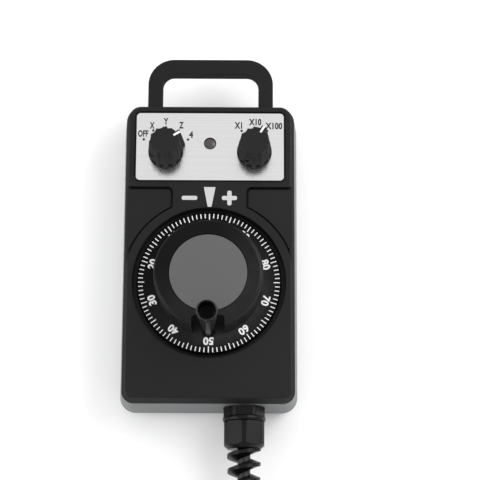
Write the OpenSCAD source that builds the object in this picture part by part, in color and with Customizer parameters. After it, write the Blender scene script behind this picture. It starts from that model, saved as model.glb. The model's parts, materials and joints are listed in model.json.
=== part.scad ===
// Hand-held pulse generator: a casing with a carrying loop, two rotary selector
// switches, a large graduated handwheel with a crank grip, and a cable gland.
// It lies on its back. +Z points out of the front face, +Y towards the carrying
// loop, and the origin is where the wheel's axis meets the back plane.

/* [Casing] */
// Width of the front face
face_w = 85.6; // [84:0.2:96]
// From the wheel axis to the face's upper edge
face_top = 95.2; // [94:0.2:104]
// From the wheel axis to the face's lower edge
face_bottom = 60.4; // [58:0.2:72]
// Depth from the front face to the back plane
case_depth = 38; // [36:0.5:46]
// Depth from the front face to the parting plane
cover_depth = 7.6; // [7.4:0.1:9]
// Depth from the front face to the widest line of the rear shell
wide_depth = 29; // [26:0.5:30]
// How far the cover's sides slope out on their way to the parting plane
cover_flare = 1.9; // [1.7:0.1:2.4]
// How far the rear shell's sides slope out further, down to the widest line
shell_flare = 1.9; // [1:0.1:2.6]
// How far the rear shell's sides curve in to the flat back
back_round = 8; // [6:0.5:9]
// Wall thickness of both casing halves
wall = 2.4; // [2:0.1:2.8]
// Thickness of the front face
face_t = 2.4; // [2.2:0.1:2.8]
// Corner radius of the front face at the loop end
corner_top_r = 6; // [5:0.2:8]
// Corner radius of the front face at the cable end
corner_low_r = 4.4; // [4:0.2:7]
// Bevel round the front face's edge
edge_bevel = 0.5; // [0.3:0.1:0.8]
// Thickness of the seal between the casing halves
seal_t = 0.5; // [0.4:0.1:0.8]
// Width of the seal
seal_w = 1.6; // [1.2:0.1:1.8]

/* [Shoulder pads] */
// Depth of the two pads below the front face
pad_depth = 1.6; // [1.2:0.1:2.4]
// Thickness of a pad's floor
pad_floor_t = 3.6; // [3.4:0.1:4.2]
// Width of the groove along the foot of a pad's steps
groove_w = 1.2; // [0.8:0.1:1.4]
// Depth of that groove below the pad
groove_d = 2.4; // [1.5:0.1:2.6]
// From the wheel axis to the step above the pads
step_y = 51.3; // [50.8:0.1:52.4]
// Width of the neck between the pads
neck_w = 38.4; // [34:0.2:42]
// Radius in the corner between neck and step
neck_corner_r = 3; // [2:0.5:5]
// Radius of the raised land round the dial
land_r = 44.3; // [43.8:0.1:45.2]
// From the wheel axis to the lower end of the pads
pad_low_y = 9; // [6:0.5:14]

/* [Dial recess] */
// Radius of the dial recess
recess_r = 40; // [39:0.1:40.6]
// Depth of the dial recess
recess_depth = 6.5; // [6.2:0.1:7.5]
// Thickness of the recess floor and wall
recess_wall = 2.2; // [1.8:0.1:2.6]

/* [Faceplate] */
// Width of the faceplate
plate_w = 79; // [76:0.2:80]
// Height of the faceplate
plate_h = 38; // [36:0.2:38.4]
// From the wheel axis to the middle of the faceplate
plate_y = 73.3; // [73:0.1:74]
// Thickness of the faceplate
plate_t = 0.8; // [0.5:0.1:1]
// How far the faceplate lies below the front face
plate_sunk = 0.3; // [0.1:0.1:0.4]
// Gap round the faceplate
plate_gap = 0.4; // [0.1:0.05:0.5]
// Corner radius of the faceplate
plate_corner_r = 2.6; // [1.5:0.1:4]

/* [Selector switches] */
// From the middle of the casing to each switch axis
switch_x = 23.4; // [22.8:0.1:24]
// From the wheel axis to the switch axes
switch_y = 70.4; // [70:0.1:71.6]
// Radius of a switch housing
switch_r = 12; // [11:0.1:12.4]
// Height of a switch housing
switch_h = 13; // [11:0.5:15]
// Radius of a switch's threaded bush
bush_r = 4.5; // [4:0.1:5]
// Length of a switch's threaded bush
bush_h = 7; // [6:0.1:8]
// Radius of a switch shaft
shaft_r = 3; // [2.5:0.1:3.2]
// Thickness of a switch nut
nut_h = 2.2; // [1.8:0.1:2.6]
// Width across the flats of a switch nut
nut_af = 11.6; // [11:0.2:12]
// Radius of a knob at its foot
knob_foot_r = 9.2; // [8.8:0.1:10]
// Radius of a knob at its top
knob_top_r = 7.8; // [7.4:0.1:8.6]
// Height of a knob
knob_h = 19; // [17:0.5:22]
// Gap between a knob and the faceplate
knob_gap = 0.6; // [0.4:0.1:1]
// Number of flutes round a knob
knob_flutes = 12; // [10:1:16]
// Depth of a flute at its lower end
flute_d = 0.6; // [0.2:0.05:0.7]
// Height of the smooth skirt below the flutes
skirt_h = 1.6; // [1:0.1:3]
// How far the pointer stands out of the knob
nose_out = 1.6; // [1:0.1:1.8]
// Width of the pointer at the knob's foot
nose_foot_w = 4.4; // [3.4:0.1:5]
// Width of the pointer at the knob's top
nose_top_w = 2.6; // [2:0.1:3.2]
// Width of the white line on the pointer
line_w = 1.1; // [0.8:0.1:1.4]
// Length of the white line
line_l = 3.8; // [3:0.1:4.2]
// Direction that the axis knob points in, from +X
axis_rest = 32; // [0:1:90]
// Direction that the multiplier knob points in, from +X
multiplier_rest = 58; // [0:1:90]

/* [Indicator] */
// From the wheel axis to the indicator
led_y = 75; // [74:0.1:76]
// Radius of the indicator's window
led_hole_r = 3.3; // [3.1:0.1:3.6]
// Radius of the indicator's lens
led_r = 2.9; // [2.5:0.1:3]

/* [Handwheel] */
// Radius of the dial
dial_r = 37.6; // [37:0.1:38.4]
// Thickness of the dial
dial_t = 3; // [2.6:0.1:3.1]
// How far the dial's face lies below the front face
dial_sunk = 1.2; // [0.8:0.1:1.4]
// Radius of the hub
hub_r = 28; // [27.4:0.2:29]
// Height of the hub above the front face
hub_h = 22.5; // [20:0.5:25]
// Rounding of the hub's upper edge
hub_round = 2.4; // [1:0.1:2.6]
// Wall thickness of the hollow hub
hub_wall = 3; // [2.4:0.1:3.2]
// Radius of the disc on the hub
disc_r = 20; // [18:0.1:20.4]
// Thickness of the disc on the hub
disc_t = 1.2; // [0.8:0.1:1.6]
// Number of finger scallops round the hub
scallops = 10; // [8:1:10]
// Angle between neighbouring scallops
scallop_pitch = 32; // [30:1:33]
// Depth of a scallop
scallop_d = 1; // [0.5:0.1:1.4]

/* [Crank grip] */
// From the wheel axis to the grip's axis
grip_off = 25.8; // [25.6:0.1:26.6]
// Height of the grip's top above the front face
grip_top = 54; // [46:0.5:58]
// Radius of the grip at its top
grip_top_r = 5.3; // [5.2:0.1:6]
// Depth of the recess over the grip's screw
grip_recess = 8.2; // [5:0.2:10]
// Radius of the grip at its foot
grip_foot_r = 3.4; // [3.2:0.1:3.8]
// Height of the post under the grip
post_h = 10; // [8:0.5:12]
// Radius of the post
post_r = 3.2; // [3:0.1:3.6]
// Radius of the pin that the grip turns on
pin_r = 2; // [1.6:0.1:2.2]
// Half the width of the notch in the hub round the post
notch_half_w = 8.4; // [7.5:0.1:9]

/* [Encoder] */
// Radius of the encoder housing
encoder_r = 27; // [26:0.2:28]
// Height of the encoder housing
encoder_h = 20; // [19.5:0.1:21]
// Thickness of the encoder's sheet parts
encoder_wall = 1.6; // [1.2:0.1:1.8]
// Radius of the encoder's mounting flange
flange_r = 30; // [29.4:0.2:33]
// Thickness of the mounting flange
flange_t = 2; // [1.6:0.1:2.4]
// Radius of the encoder shaft
spindle_r = 4; // [3.6:0.1:4.2]
// Outer radius of the shaft bearings
bearing_r = 8; // [7.6:0.1:8.4]
// Width of a shaft bearing
bearing_w = 5; // [4:0.5:5]
// Radius of the circle of flange screws
flange_screw_ring = 20; // [18:0.5:22]
// Teeth of the click wheel, one for each mark of the dial
clicks = 100; // [50:25:100]

/* [Cable gland] */
// From the middle of the casing to the cable's axis
gland_x = 18.6; // [14:0.1:20]
// Height of the cable's axis above the back plane
gland_z = 19.5; // [18.5:0.1:19.8]
// Radius of the gland's thread
gland_thread_r = 8; // [7.5:0.1:8.4]
// Width across the flats of the gland body's hexagon
gland_hex = 19.6; // [19:0.1:20.2]
// Width across the flats of the dome nut
dome_hex = 20.8; // [20:0.1:21.4]
// Length of the dome nut
dome_l = 14.1; // [13:0.1:16]
// Outer radius of the spiral tail at the nut
spiral_r = 8.9; // [8:0.1:9.4]
// Outer radius of the spiral tail at its end
spiral_end_r = 7.4; // [6.4:0.1:8]
// Rise of the spiral for each turn
spiral_pitch = 7.7; // [7:0.1:8]
// Where round the cable the spiral starts, from +X over the top
spiral_start = 14; // [0:1:359]
// Number of turns of the spiral
spiral_turns = 6.25; // [3:0.25:6.25]

/* [Carrying loop] */
// Outside width of the loop
loop_w = 66.6; // [64:0.2:68]
// Width of the loop's legs
leg_w = 7.7; // [7:0.1:8.4]
// Width of the loop's grip bar
bar_w = 8; // [7:0.1:9]
// Thickness of the loop
loop_t = 8; // [7:0.1:8.6]
// From the wheel axis to the loop's outer edge
loop_top = 122.8; // [116:0.2:132]
// Outer corner radius of the loop
loop_corner_r = 14; // [10:0.5:18]
// Depth of the loop's front below the front face
loop_sunk = 2.9; // [2.9:0.1:3.6]
// How far the loop's legs reach into the casing
leg_in = 9; // [8:0.2:10]

/* [Fasteners] */
// Thread radius of the casing screws
screw_r = 1.5; // [1.25:0.05:1.6]
// Head radius of the casing screws
screw_head_r = 2.8; // [2.4:0.1:3]
// Head height of the casing screws
screw_head_h = 2; // [1.6:0.1:2.2]
// Radius of the casing's screw bosses
boss_r = 3.9; // [3.7:0.1:4.1]

/* [Cord] */
// Radius of the cord
cord_r = 3.3; // [3:0.1:3.4]
// Thickness of the tie round the coil
tie_t = 0.8; // [0.6:0.1:1.2]
// Width of the tie
tie_w = 12; // [8:0.5:16]

/* [Hidden] */
$fn = 96;
eps = 0.01;
running = 0.05;     // radial clearance of every running fit
slip = 0.02;        // radial clearance of a screw in its tapped hole
snug = 0.2;         // clearance round seated pieces
tapped_r = screw_r + slip;
through_r = screw_r + snug;
counterbore_r = screw_head_r + snug;

// Levels above the back plane
face_z = case_depth;
part_z = face_z - cover_depth;
wide_z = face_z - wide_depth;
pad_z = face_z - pad_depth;
floor_z = face_z - recess_depth;
under_floor_z = floor_z - recess_wall;
under_face_z = face_z - face_t;
plate_top_z = face_z - plate_sunk;
pocket_z = plate_top_z - plate_t;
dial_top_z = face_z - dial_sunk;
dial_low_z = dial_top_z - dial_t;
hub_top_z = face_z + hub_h;
flare = cover_flare + shell_flare;
lip_h = 1.6;
lip_t = 1.2;
lip_grow = cover_flare - wall - snug;
groove_end = 0.9;     // the grooves stop this far inside the face's side edges

// Positions of the six casing screws
screw_x = face_w / 2 - 6.4;
screw_rows = [8 - face_bottom, step_y + recess_wall + boss_r + 0.8, face_top - 8];

// The cord's route from the dome nut to the coil, and from the coil to the plug
coil_c = [-24, -192];
coil_in_r = 26;
coil_out_r = 46;
coil_h = 13.3;
cord_out = [[18.6, -84.5, 19.5], [18.6, -100, 19.5], [18.6, -115, 19.5], [18.6, -128, 19.5],
            [18.6, -135, 19.3], [18.6, -142, 18.3], [18.6, -149, 16.4], [18.6, -156, 13.7],
            [18.6, -163, 10.6], [18.6, -170, 7.6], [18.6, -177, 5.2], [18.6, -184, 3.8],
            [18.6, -192, 3.4]];
cord_end = [[-66.6, -192, 10], [-66.6, -182, 10.1], [-66.6, -172, 10.5], [-66.6, -164, 11],
            [-66.5, -156, 11.6]];
plug_at = [-66.5, -156, 11.6];
seat_y = face_bottom + 2;       // plane that the gland is screwed against

// ---- shared shapes ----

// A rectangle with one radius at its upper corners and one at its lower corners
module round_rect(x0, y0, x1, y1, r_top, r_low) {
    for (x = [x0, x1]) {
        s = x == x0 ? 1 : -1;
        translate([x + s * r_top, y1 - r_top]) circle(r_top);
        translate([x + s * r_low, y0 + r_low]) circle(r_low);
    }
    translate([x0 + max(r_top, r_low), y0]) square([x1 - x0 - 2 * max(r_top, r_low), y1 - y0]);
    translate([x0, y0 + r_low]) square([x1 - x0, y1 - y0 - r_top - r_low]);
    if (r_top > r_low) translate([x0 + r_low, y0]) square([x1 - x0 - 2 * r_low, r_top]);
    if (r_low > r_top) translate([x0 + r_top, y1 - r_low]) square([x1 - x0 - 2 * r_top, r_low]);
}

// The face's outline, grown by g on every side
module outline(g) {
    round_rect(-face_w / 2 - g, -face_bottom - g, face_w / 2 + g, face_top + g,
        max(corner_top_r + g, 1), max(corner_low_r + g, 1));
}

// A closed shape through thin slices of the outline, each given as [height, growth]
module lofted(levels) {
    hull() for (l = levels) translate([0, 0, l[0]]) linear_extrude(eps) outline(l[1], $fn = 32);
}

// How far the casing's side stands outside the face's outline at height z
function side(z) = z >= part_z ? cover_flare * (face_z - z) / cover_depth
    : cover_flare + shell_flare * (part_z - z) / (part_z - wide_z);

// The rear shell's curved foot, set in by t
function foot(t) = [for (a = [0, 30, 60, 90])
    [wide_z - (wide_z - t) * sin(a), flare - t - (back_round - t) * (1 - cos(a))]];

// A ring of the outline at one height, between two growths
module outline_ring(z0, z1, g_out, g_in) {
    translate([0, 0, z0]) linear_extrude(z1 - z0) difference() { outline(g_out); outline(g_in); }
}

module tube(r_out, r_in, z0, z1) {
    translate([0, 0, z0]) difference() {
        cylinder(r = r_out, h = z1 - z0);
        translate([0, 0, -1]) cylinder(r = r_in, h = z1 - z0 + 2);
    }
}

module disc(r, z0, z1) { translate([0, 0, z0]) cylinder(r = r, h = z1 - z0); }

module hexagon(af, z0, z1, turn = 0) {
    rotate(turn) translate([0, 0, z0]) cylinder(r = af / sqrt(3), h = z1 - z0, $fn = 6);
}

// A screw with a round head whose underside is at z = 0 and whose shank points to -Z
module screw(r, length, head_r, head_h, slot = true) {
    disc(r, -length, 0);
    difference() {
        disc(head_r, 0, head_h);
        if (slot) translate([0, 0, head_h / 2]) hexagon(r * 1.7, 0, head_h);
    }
}

module both_sides() { for (s = [0, 1]) mirror([s, 0, 0]) children(); }

module at_casing_screws() {
    for (s = [-1, 1]) for (y = screw_rows) translate([s * screw_x, y, 0]) children();
}

// ---- casing ----

// The area of one shoulder pad, grown by g into the plateau round it
module pad_area(g) {
    corner_r = neck_corner_r + g;
    difference() {
        translate([neck_w / 2 - g, pad_low_y]) square([face_w, step_y + g - pad_low_y]);
        circle(land_r - g);
        if (g <= 0) translate([neck_w / 2 - g, step_y - neck_corner_r]) difference() {
            translate([-1, 0]) square([corner_r + 1, corner_r + 1]);
            translate([corner_r, 0]) circle(corner_r);
        }
    }
}

// The loop's leg inside the casing wall, with clearance c all round
module leg_slots(c) {
    for (s = [-1, 1]) translate([s * (loop_w - leg_w) / 2 - leg_w / 2 - c, face_top - wall - leg_in,
        face_z - loop_sunk - loop_t - c]) cube([leg_w + 2 * c, 2 * leg_in + 8, loop_t + 2 * c]);
}

module front_cover() {
    color([0.16, 0.16, 0.17]) difference() {
        union() {
            difference() {
                lofted([[face_z - eps, -edge_bevel], [face_z - edge_bevel, side(face_z - edge_bevel)],
                    [part_z, cover_flare]]);
                lofted([[under_face_z - eps, side(under_face_z) - wall], [part_z - 1, cover_flare - wall]]);
            }
            outline_ring(part_z - lip_h, part_z + 2, lip_grow, lip_grow - lip_t);
            intersection() {
                lofted([[under_face_z, side(under_face_z) - wall + eps], [part_z - lip_h, lip_grow]]);
                translate([0, 0, pad_z - pad_floor_t]) linear_extrude(under_face_z + 1)
                    both_sides() pad_area(recess_wall);
            }
            disc(recess_r + recess_wall, under_floor_z, under_face_z + 1);
            at_casing_screws() disc(boss_r, part_z, under_face_z + eps);
            for (s = [-1, 1]) translate([s * 6, led_y, 0]) {
                disc(1.6, led_board_z + led_board_t, under_face_z + eps);
                disc(0.8, led_board_z - 0.6, led_board_z + led_board_t + 1);
            }
        }
        translate([0, 0, pad_z]) linear_extrude(cover_depth) both_sides() pad_area(0);
        translate([0, 0, pad_z - groove_d]) linear_extrude(cover_depth) both_sides() difference() {
            pad_area(0);
            pad_area(-groove_w);
            translate([face_w / 2 - groove_end, 0]) square([face_w, face_top]);
        }
        disc(recess_r, floor_z, face_z + 1);
        disc(neck_r + snug, 0, face_z);
        translate([0, 0, pocket_z]) linear_extrude(face_t) plate_outline(plate_gap);
        for (s = [-1, 1]) translate([s * switch_x, switch_y, 0]) disc(bush_r + snug, part_z, face_z);
        translate([0, led_y, 0]) disc(led_hole_r, part_z, face_z);
        at_casing_screws() disc(tapped_r, part_z - 1, part_z + screw_bite);
        at_flange_screws() disc(through_r, 0, face_z);
        leg_slots(snug);
    }
}

module rear_shell() {
    rim_z = part_z - seal_t;
    color([0.5, 0.51, 0.52]) difference() {
        union() {
            difference() {
                lofted(concat([[rim_z - eps, side(rim_z)]], foot(0)));
                lofted(concat([[part_z, side(part_z) - wall]], foot(wall)));
            }
            intersection() {
                lofted(concat([[rim_z - eps, side(rim_z)]], foot(0)));
                union() {
                    at_casing_screws() disc(boss_r, 0, rim_z);
                    intersection() {
                        gland_frame() disc(gland_spot_r + 1.4, -gland_wall, 4);
                        translate([0, -face_bottom, 0]) cylinder(r = face_w, h = part_z - lip_h - snug);
                    }
                    for (s = [-1, 1]) translate([s * (loop_w - leg_w) / 2, leg_screw_y, 0])
                        disc(boss_r - 0.6, 0, face_z - loop_sunk - loop_t - snug);
                    at_board_screws() disc(boss_r - 0.8, 0, board_z);
                }
            }
            at_casing_screws() disc(boss_r, rim_z - 1, part_z);
        }
        at_casing_screws() {
            disc(through_r, 0, part_z + 1);
            disc(counterbore_r, -1, casing_head_z + screw_head_h);
        }
        gland_frame() { disc(gland_thread_r + snug, -20, 20); disc(gland_spot_r, 0, 20); }
        for (s = [-1, 1]) translate([s * (loop_w - leg_w) / 2, leg_screw_y, 0])
            disc(tapped_r, wall + 2, face_z);
        at_board_screws() disc(tapped_r, wall + 1, face_z);
        leg_slots(snug);
    }
}

module casing_seal() {
    color([0.08, 0.08, 0.08]) difference() {
        outline_ring(part_z - seal_t, part_z, lip_grow + 2 * snug + seal_w, lip_grow + 2 * snug);
        leg_slots(snug);
    }
}

module casing_screws() {
    color([0.6, 0.6, 0.62]) at_casing_screws() translate([0, 0, casing_head_z + screw_head_h])
        mirror([0, 0, 1]) screw(screw_r, part_z + screw_bite - 0.5 - casing_head_z - screw_head_h,
            screw_head_r, screw_head_h);
}

// The loop's flat outline, its legs open at the casing end
module loop_outline() {
    w = loop_w / 2;
    y0 = face_top - wall - leg_in;
    r_in = loop_corner_r - leg_w;
    difference() {
        round_rect(-w, y0 - w, w, loop_top, loop_corner_r, eps);
        round_rect(-w + leg_w, y0 - w - 1, w - leg_w, loop_top - bar_w, r_in, eps);
        translate([-w - 1, y0 - w - 2]) square([2 * w + 2, w + 2]);
    }
}

module carrying_loop() {
    z0 = face_z - loop_sunk - loop_t;
    color([0.17, 0.17, 0.18]) difference() {
        translate([0, 0, z0]) linear_extrude(loop_t) loop_outline();
        for (s = [-1, 1]) translate([s * (loop_w - leg_w) / 2, leg_screw_y, 0]) {
            disc(through_r, 0, face_z);
            disc(counterbore_r, z0 + loop_t - screw_head_h - 1, face_z);
        }
    }
}

module loop_screws() {
    z = face_z - loop_sunk - screw_head_h - 1;
    color([0.6, 0.6, 0.62]) for (s = [-1, 1]) translate([s * (loop_w - leg_w) / 2, leg_screw_y, z])
        screw(screw_r, z - wall - 4, screw_head_r, screw_head_h);
}

// ---- faceplate and indicator ----

module plate_outline(g) {
    round_rect(-plate_w / 2 - g, plate_y - plate_h / 2 - g, plate_w / 2 + g, plate_y + plate_h / 2 + g,
        plate_corner_r + g, plate_corner_r + g);
}

module faceplate() {
    color([0.82, 0.83, 0.84]) difference() {
        translate([0, 0, pocket_z]) linear_extrude(plate_t) plate_outline(0);
        for (s = [-1, 1]) translate([s * switch_x, switch_y, 0]) disc(bush_r + snug, 0, face_z);
        translate([0, led_y, 0]) disc(led_hole_r, 0, face_z);
    }
}

led_board_t = 1.2;
led_board_z = under_face_z - 5;

module indicator_led() {
    top = face_z - 0.4;
    crown = 0.6;
    crown_r = (led_r * led_r + crown * crown) / (2 * crown);
    color([0.45, 0.42, 0.42]) translate([0, led_y, 0]) {
        intersection() {
            disc(led_r, under_face_z - 1.6, top);
            translate([0, 0, top - crown_r]) sphere(crown_r);
        }
        disc(led_r + 0.8, under_face_z - 2.6, under_face_z - 1.6);
        for (s = [-1, 1]) translate([s * 1.27, 0, 0])
            disc(0.25, led_board_z + led_board_t, under_face_z - 2.6);
    }
}

module indicator_board() {
    color([0.1, 0.35, 0.2]) difference() {
        translate([-9, led_y - 5, led_board_z]) cube([18, 10, led_board_t]);
        for (s = [-1, 1]) translate([s * 6, led_y, 0]) disc(0.8 + running, 0, face_z);
    }
}

// ---- selector switches ----

switch_top_z = pocket_z - (face_t - plate_sunk - plate_t);
switch_low_z = switch_top_z - switch_h;
nut_z = plate_top_z;
knob_z = plate_top_z + knob_gap;
knob_top_z = knob_z + knob_h;
rotor_r = switch_r - 2.2;
shaft_top_z = knob_top_z - 4;

module on_switch(s) { translate([s * switch_x, switch_y, 0]) children(); }

module switch_housing() {
    color([0.12, 0.13, 0.15]) difference() {
        union() {
            disc(switch_r, switch_low_z, switch_top_z);
            disc(bush_r, switch_top_z, switch_top_z + bush_h);
        }
        disc(rotor_r + 0.4, switch_low_z + 2, switch_top_z - 2);
        disc(shaft_r + running, switch_low_z + 2, switch_top_z + bush_h + 1);
    }
}

module switch_nut() {
    color([0.75, 0.75, 0.76]) difference() {
        hexagon(nut_af, nut_z, nut_z + nut_h);
        disc(bush_r + slip, nut_z - 1, nut_z + nut_h + 1);
    }
}

module switch_shaft() {
    color([0.7, 0.7, 0.72]) {
        disc(shaft_r, switch_low_z + 2.3, shaft_top_z);
        disc(rotor_r, switch_low_z + 4, switch_low_z + 6.5);
    }
}

module switch_terminals() {
    color([0.85, 0.7, 0.35]) for (i = [0:11]) rotate(i * 30) translate([switch_r - 1.6, 0, 0])
        translate([-0.3, -0.9, switch_low_z - 4]) cube([0.6, 1.8, 4]);
}

// The pointer on a knob's side, which leans in with it and narrows towards the top
module knob_pointer() {
    back = atan((knob_foot_r - knob_top_r) / knob_h);
    lean = atan((nose_foot_w - nose_top_w) / 2 / knob_h);
    reach = knob_foot_r + nose_out;
    module flank() {
        translate([reach, nose_foot_w / 2, knob_z]) rotate([lean, -back, 0])
            translate([-reach, -nose_foot_w, -1]) cube([reach, nose_foot_w, knob_h + 3]);
    }
    intersection() {
        flank();
        mirror([0, 1, 0]) flank();
        disc(reach + 1, knob_z + nose_step, knob_top_z - nose_step);
    }
}

// The room for a knob's white line, from its inner end outwards
module line_room(l) {
    translate([knob_top_r + nose_out - line_l, -line_w / 2, knob_top_z - line_d])
        cube([l, line_w, line_d + 1]);
}

module knob(turn) {
    back = atan((knob_foot_r - knob_top_r) / knob_h);
    skirt_r = knob_foot_r - skirt_h * tan(back);
    flute_r = 3;
    color([0.14, 0.14, 0.15]) difference() {
        union() {
            rotate_extrude() polygon([[0, knob_z], [knob_foot_r, knob_z],
                [knob_top_r + top_bevel * tan(back), knob_top_z - top_bevel],
                [knob_top_r - top_bevel, knob_top_z], [0, knob_top_z]]);
            rotate(turn) knob_pointer();
        }
        for (i = [1:knob_flutes - 2]) rotate(turn + (i + 0.5) * 360 / knob_flutes)
            translate([skirt_r + flute_r - flute_d, 0, knob_z + skirt_h]) rotate([0, -back - 0.8, 0])
                cylinder(r = flute_r, h = knob_h);
        disc(nut_af / sqrt(3) + 0.6, knob_z - 1, nut_z + nut_h + 0.6);
        disc(bush_r + 0.4, knob_z - 1, switch_top_z + bush_h + 0.6);
        disc(shaft_r + slip, knob_z - 1, shaft_top_z + 0.3);
        rotate(turn) line_room(line_l + 1);
        rotate(turn + 180) translate([0, 0, knob_screw_z]) rotate([0, 90, 0])
            cylinder(r = tapped_r, h = knob_foot_r + 1);
    }
}
knob_screw_z = switch_top_z + bush_h + 0.6 + screw_r + 1.2;
top_bevel = 0.5;
line_d = 0.6;
nose_step = 0.1;     // the pointer ends this far inside the knob's foot and top

module knob_line(turn) {
    color("white") rotate(turn) intersection() {
        line_room(line_l - eps);
        disc(knob_foot_r + nose_out, knob_top_z - line_d, knob_top_z - nose_step);
    }
}

module knob_screw(turn) {
    color([0.3, 0.3, 0.3]) rotate(turn + 180) translate([shaft_r, 0, knob_screw_z]) rotate([0, 90, 0])
        difference() {
            cylinder(r = screw_r, h = 3.4);
            translate([0, 0, 2]) hexagon(1.5, 0, 2);
        }
}

// ---- handwheel ----

core_r = spindle_r + 3.2;
disc_z = hub_top_z - disc_t;
hub_roof = hub_wall + disc_t;
post_z = dial_top_z;
grip_z = face_z + post_h;
grip_top_z = face_z + grip_top;

module at_grip() { translate([0, -grip_off, 0]) children(); }

module at_dial_screws() { for (i = [0:2]) rotate(90 + i * 120) translate([hub_r - 5, 0, 0]) children(); }

module notch_area(g) {
    y1 = -grip_off + post_r + 0.8 + g;
    translate([-notch_half_w - g, y1 - 2 * hub_r]) square([2 * (notch_half_w + g), 2 * hub_r - 2]);
    translate([-notch_half_w - g + 2, y1 - 4]) square([2 * (notch_half_w + g) - 4, 4]);
    for (s = [-1, 1]) translate([s * (notch_half_w + g - 2), y1 - 2]) circle(2);
}

module dial() {
    bevel = 0.8;
    color([0.12, 0.12, 0.13]) difference() {
        rotate_extrude() polygon([[0, dial_low_z], [dial_r, dial_low_z], [dial_r, dial_top_z - bevel],
            [dial_r - bevel, dial_top_z], [0, dial_top_z]]);
        disc(spindle_r + slip, 0, face_z);
        at_dial_screws() {
            disc(through_r, 0, face_z);
            disc(counterbore_r, dial_low_z - 1, dial_low_z + 1.8);
        }
        at_grip() disc(pin_r + slip, 0, face_z);
    }
}

module hub() {
    color([0.14, 0.14, 0.15]) difference() {
        union() {
            difference() {
                rotate_extrude() polygon([[0, dial_top_z], [hub_r, dial_top_z],
                    for (a = [0:15:90]) [hub_r - hub_round * (1 - cos(a)), hub_top_z - hub_round * (1 - sin(a))],
                    [0, hub_top_z]]);
                difference() {
                    tube(hub_r - hub_wall - scallop_d, core_r, dial_top_z - 1, hub_top_z - hub_roof);
                    at_dial_screws() disc(3.2, 0, hub_top_z);
                    translate([0, 0, dial_top_z - 2]) linear_extrude(hub_h * 2) notch_area(hub_wall);
                }
            }
        }
        translate([0, 0, dial_top_z - 1]) linear_extrude(hub_h * 2) notch_area(0);
        disc(disc_r + 0.15, disc_z, hub_top_z + 1);
        disc(spindle_r + slip, 0, spindle_top_z + 0.4);
        at_dial_screws() disc(tapped_r, dial_top_z - 1, dial_top_z + dial_bite + 0.5);
        for (i = [0:scallops - 1]) rotate(-90 + 180 + (i - (scallops - 1) / 2) * scallop_pitch)
            translate([hub_r + 5 - scallop_d, 0, dial_top_z - 1]) cylinder(r = 5, h = hub_h - 1.5);
        rotate(45) translate([0, 0, hub_screw_z]) rotate([0, 90, 0]) {
            cylinder(r = tapped_r, h = core_r + 1);
            translate([0, 0, core_r]) cylinder(r = tapped_r + 0.6, h = hub_r);
        }
    }
}
dial_bite = 6;
hub_screw_z = dial_top_z + 8;
spindle_top_z = dial_top_z + 15;

module hub_disc() {
    color([0.42, 0.42, 0.43]) disc(disc_r, disc_z, hub_top_z - 0.1);
}

module hub_screw() {
    color([0.3, 0.3, 0.3]) rotate(45) translate([spindle_r, 0, hub_screw_z]) rotate([0, 90, 0])
        difference() {
            cylinder(r = screw_r, h = 3);
            translate([0, 0, 1.8]) hexagon(1.5, 0, 2);
        }
}

module dial_screws() {
    color([0.6, 0.6, 0.62]) at_dial_screws() translate([0, 0, dial_low_z + 1.8]) mirror([0, 0, 1])
        screw(screw_r, dial_t + dial_bite - 1.8, screw_head_r, 1.6);
}

module crank_post() {
    color([0.2, 0.2, 0.21]) at_grip() difference() {
        union() { disc(post_r, post_z, grip_z); disc(pin_r, dial_low_z + 0.4, pin_top_z); }
        disc(crank_screw_r + slip, pin_top_z - 8, pin_top_z + 1);
    }
}
grip_head_h = 1.8;
pin_top_z = grip_top_z - grip_recess - grip_head_h;
crank_screw_r = 1;

module crank_grip() {
    color([0.13, 0.13, 0.14]) at_grip() difference() {
        rotate_extrude() polygon([[pin_r + running, grip_z + 0.2], [grip_foot_r - 0.4, grip_z + 0.2],
            [grip_foot_r, grip_z + 0.8], [grip_foot_r + 0.25, grip_z + 8],
            [grip_top_r - 0.15, grip_top_z - 6], [grip_top_r, grip_top_z - 1.2],
            [grip_top_r - 0.3, grip_top_z - 0.3], [grip_top_r - 0.7, grip_top_z],
            [grip_top_r - 1.1, grip_top_z - 0.5], [grip_top_r - 1.1, pin_top_z - 0.2],
            [pin_r + running, pin_top_z - 0.2]]);
    }
}

module crank_screw() {
    color([0.2, 0.2, 0.21]) at_grip() translate([0, 0, pin_top_z]) difference() {
        screw(crank_screw_r, 7, 3.2, grip_head_h, false);
        for (a = [45, 135]) rotate(a) translate([-2, -0.4, grip_head_h / 2]) cube([4, 0.8, grip_head_h]);
    }
}

// ---- encoder ----

neck_r = bearing_r + 2;
neck_low_z = under_floor_z - flange_t - 6.6;
neck_top_z = floor_z + 1.4;
housing_top_z = under_floor_z - flange_t;
housing_low_z = housing_top_z - encoder_h;
encoder_board_z = housing_low_z + encoder_wall + 1;
encoder_board_t = 1.6;
code_z = encoder_board_z + encoder_board_t + 2.4;
code_t = 1;
code_r = encoder_r - 6;
click_r = 14;
click_t = 1.6;
click_z = neck_low_z - 0.6 - click_t;

module at_flange_screws() {
    for (i = [0:2]) rotate(90 + i * 120) translate([flange_screw_ring, 0, 0]) children();
}

module encoder_flange() {
    color([0.62, 0.63, 0.64]) difference() {
        union() { disc(flange_r, housing_top_z, under_floor_z); disc(neck_r, neck_low_z, neck_top_z); }
        disc(bearing_r - 1.4, 0, face_z);
        disc(bearing_r + slip, neck_top_z - bearing_w, face_z);
        disc(bearing_r + slip, 0, neck_low_z + bearing_w);
        at_flange_screws() disc(tapped_r, 0, face_z);
    }
}

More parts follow.
